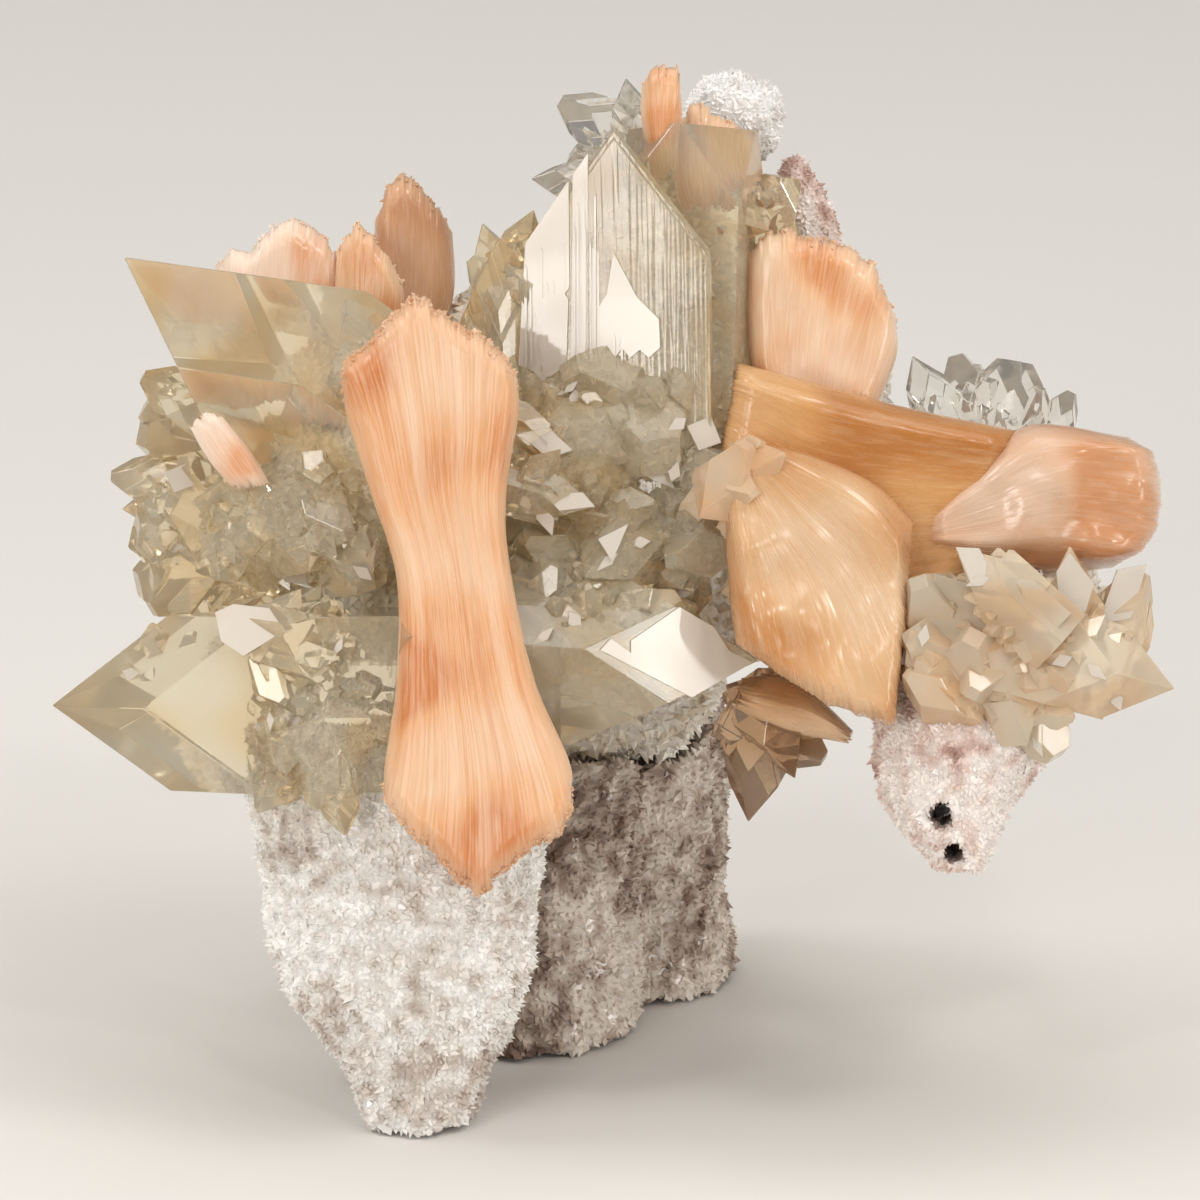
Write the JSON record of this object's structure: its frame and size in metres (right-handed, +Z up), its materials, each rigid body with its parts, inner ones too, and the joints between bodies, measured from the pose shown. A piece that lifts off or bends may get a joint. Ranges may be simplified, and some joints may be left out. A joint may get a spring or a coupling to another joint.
{
  "type": "apophyllite cluster",
  "caption": "Mineral specimen: clear square apophyllite crystals and peach stilbite bow-ties grown on drusy quartz stalactites, standing on its cut matrix.",
  "frame": {"origin": "middle of the rear stalactite's flat foot, on the surface that the specimen stands on", "axes": "+X to the right across the display face, +Y to the back, +Z up; the display face looks along -Y and leans back 18 degrees"},
  "size_m": [0.1111, 0.071, 0.101],
  "materials": {
    "apophyllite": "clear to milky crystal with glassy faces and fine lengthwise striations",
    "stilbite": "peach, silky lengthwise fibres with cream rims and a pearly sheen",
    "quartz": "sugary drusy quartz, white to mauve grey"
  },
  "bodies": {
    "root": {"matrix": "quartz", "stalactite_front": "quartz", "stalactite_rear": "quartz", "stalactite_right": "quartz", "knob_top": "quartz", "knob_pink": "quartz", "stilbite_bowtie": "stilbite", "stilbite_sheaf": "stilbite", "stilbite_wedge": "stilbite", "stilbite_upper_right": "stilbite", "stilbite_back_left": "stilbite", "stilbite_left_middle": "stilbite", "stilbite_left": "stilbite", "stilbite_top": "stilbite", "stilbite_top_right": "stilbite", "stilbite_small": "stilbite", "stilbite_under": "stilbite", "apophyllite_main": "apophyllite", "apophyllite_left": "apophyllite", "apophyllite_right": "apophyllite", "apophyllite_top": "apophyllite", "apophyllite_right_back": "apophyllite", "apophyllite_under": "apophyllite", "apophyllite_back_left": "apophyllite", "apophyllite_back_right": "apophyllite"}
  },
  "joints": []
}
